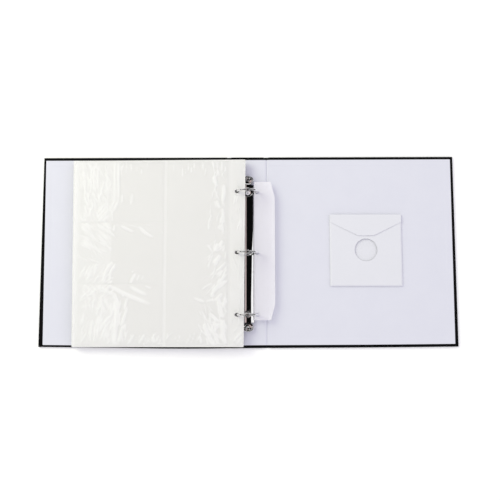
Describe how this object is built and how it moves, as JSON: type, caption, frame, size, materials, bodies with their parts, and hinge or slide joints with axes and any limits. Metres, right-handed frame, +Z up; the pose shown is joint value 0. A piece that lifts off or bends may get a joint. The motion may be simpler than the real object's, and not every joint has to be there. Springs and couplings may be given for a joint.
{
  "type": "ring binder photo album",
  "caption": "Open ring binder photo album with a hard case, chrome ring mechanism with levers, pocket leaves, a sheet lifter and a disc pocket.",
  "frame": {"origin": "middle of the spine's underside, which the open album lies on", "axes": "+X towards the back cover, -X towards the front cover, +Y towards the head of the album, +Z up"},
  "size_m": [0.7304, 0.3364, 0.0418],
  "materials": {
    "black_leatherette": "fine grain, satin",
    "grey_board": "raw",
    "lining_paper": "smooth matt",
    "chrome": "polished",
    "steel": "zinc plated",
    "clear_film": "clear, glossy",
    "white_divider": "satin",
    "lifter_plastic": "satin",
    "pocket_paper": "smooth matt"
  },
  "bodies": {
    "spine": {"spine_board": "grey_board", "spine_cloth": "black_leatherette", "spine_lining": "lining_paper", "front_hinge_cloth": "black_leatherette", "front_hinge_lining": "lining_paper", "back_hinge_cloth": "black_leatherette", "back_hinge_lining": "lining_paper", "ring_housing": "chrome", "top_lever_pin": "steel", "bottom_lever_pin": "steel", "top_rivet": "chrome", "bottom_rivet": "chrome"},
    "front_cover": {"front_board": "grey_board", "front_cloth": "black_leatherette", "front_lining": "lining_paper"},
    "back_cover": {"back_board": "grey_board", "back_cloth": "black_leatherette", "back_lining": "lining_paper", "pocket_back_panel": "pocket_paper", "pocket_front_panel": "pocket_paper"},
    "pocket_flap": {"pocket_flap": "pocket_paper"},
    "left_rings": {"left_blade": "steel", "left_half_ring_top": "chrome", "left_half_ring_middle": "chrome", "left_half_ring_bottom": "chrome"},
    "right_rings": {"right_blade": "steel", "right_half_ring_top": "chrome", "right_half_ring_middle": "chrome", "right_half_ring_bottom": "chrome"},
    "top_lever": {"top_lever": "chrome"},
    "bottom_lever": {"bottom_lever": "chrome"},
    "sheet_lifter": {"sheet_lifter": "lifter_plastic"},
    "leaf_1": {"leaf_1_lower_film": "clear_film", "leaf_1_divider": "white_divider", "leaf_1_upper_film": "clear_film"},
    "leaf_2": {"leaf_2_lower_film": "clear_film", "leaf_2_divider": "white_divider", "leaf_2_upper_film": "clear_film"},
    "leaf_3": {"leaf_3_lower_film": "clear_film", "leaf_3_divider": "white_divider", "leaf_3_upper_film": "clear_film"},
    "leaf_4": {"leaf_4_lower_film": "clear_film", "leaf_4_divider": "white_divider", "leaf_4_upper_film": "clear_film"},
    "leaf_5": {"leaf_5_lower_film": "clear_film", "leaf_5_divider": "white_divider", "leaf_5_upper_film": "clear_film"},
    "leaf_6": {"leaf_6_lower_film": "clear_film", "leaf_6_divider": "white_divider", "leaf_6_upper_film": "clear_film"}
  },
  "joints": [
    {"name": "front_cover_fold", "type": "hinge", "parent": "spine", "child": "front_cover", "pos_m": [-0.033, 0, 0.0005], "axis": [0, 1, 0], "range_deg": [0, 90], "deforming": ["front_hinge_cloth", "front_hinge_lining"]},
    {"name": "back_cover_fold", "type": "hinge", "parent": "spine", "child": "back_cover", "pos_m": [0.033, 0, 0.0005], "axis": [0, -1, 0], "range_deg": [0, 90], "deforming": ["back_hinge_cloth", "back_hinge_lining"]},
    {"name": "pocket_flap_open", "type": "hinge", "parent": "back_cover", "child": "pocket_flap", "pos_m": [0.2085, 0.0635, 0.00555], "axis": [-1, 0, 0], "range_deg": [0, 170]},
    {"name": "top_lever_press", "type": "hinge", "parent": "spine", "child": "top_lever", "pos_m": [0, 0.1116, 0.0068], "axis": [-1, 0, 0], "range_deg": [0, 15]},
    {"name": "bottom_lever_press", "type": "hinge", "parent": "spine", "child": "bottom_lever", "pos_m": [0, -0.1224, 0.0068], "axis": [1, 0, 0], "range_deg": [0, 15]},
    {"name": "left_rings_open", "type": "hinge", "parent": "spine", "child": "left_rings", "pos_m": [-0.01086, -0.0054, 0.0072], "axis": [0, -1, 0], "range_deg": [0, 9]},
    {"name": "right_rings_open", "type": "hinge", "parent": "spine", "child": "right_rings", "pos_m": [0.01086, -0.0054, 0.0072], "axis": [0, 1, 0], "range_deg": [0, 9]},
    {"name": "sheet_lifter_rise", "type": "hinge", "parent": "spine", "child": "sheet_lifter", "pos_m": [0, -0.0054, 0.022], "axis": [0, -1, 0], "range_deg": [0, 90]},
    {"name": "leaf_1_rise", "type": "hinge", "parent": "spine", "child": "leaf_1", "pos_m": [0, -0.0054, 0.022], "axis": [0, 1, 0], "range_deg": [0, 90]},
    {"name": "leaf_2_rise", "type": "hinge", "parent": "spine", "child": "leaf_2", "pos_m": [0, -0.0054, 0.022], "axis": [0, 1, 0], "range_deg": [0, 90]},
    {"name": "leaf_3_rise", "type": "hinge", "parent": "spine", "child": "leaf_3", "pos_m": [0, -0.0054, 0.022], "axis": [0, 1, 0], "range_deg": [0, 90]},
    {"name": "leaf_4_rise", "type": "hinge", "parent": "spine", "child": "leaf_4", "pos_m": [0, -0.0054, 0.022], "axis": [0, 1, 0], "range_deg": [0, 90]},
    {"name": "leaf_5_rise", "type": "hinge", "parent": "spine", "child": "leaf_5", "pos_m": [0, -0.0054, 0.022], "axis": [0, 1, 0], "range_deg": [0, 90]},
    {"name": "leaf_6_turn", "type": "hinge", "parent": "leaf_5", "child": "leaf_6", "pos_m": [0, -0.0054, 0.022], "axis": [0, -1, 0], "range_deg": [-184, 0]}
  ],
  "couplings": [
    {"joint": "bottom_lever_press", "follows": "top_lever_press", "ratio": 1},
    {"joint": "left_rings_open", "follows": "top_lever_press", "ratio": 0.6},
    {"joint": "right_rings_open", "follows": "top_lever_press", "ratio": 0.6},
    {"joint": "sheet_lifter_rise", "follows": "back_cover_fold", "ratio": 1},
    {"joint": "leaf_1_rise", "follows": "front_cover_fold", "ratio": 1},
    {"joint": "leaf_2_rise", "follows": "front_cover_fold", "ratio": 1},
    {"joint": "leaf_3_rise", "follows": "front_cover_fold", "ratio": 1},
    {"joint": "leaf_4_rise", "follows": "front_cover_fold", "ratio": 1},
    {"joint": "leaf_5_rise", "follows": "front_cover_fold", "ratio": 1}
  ]
}
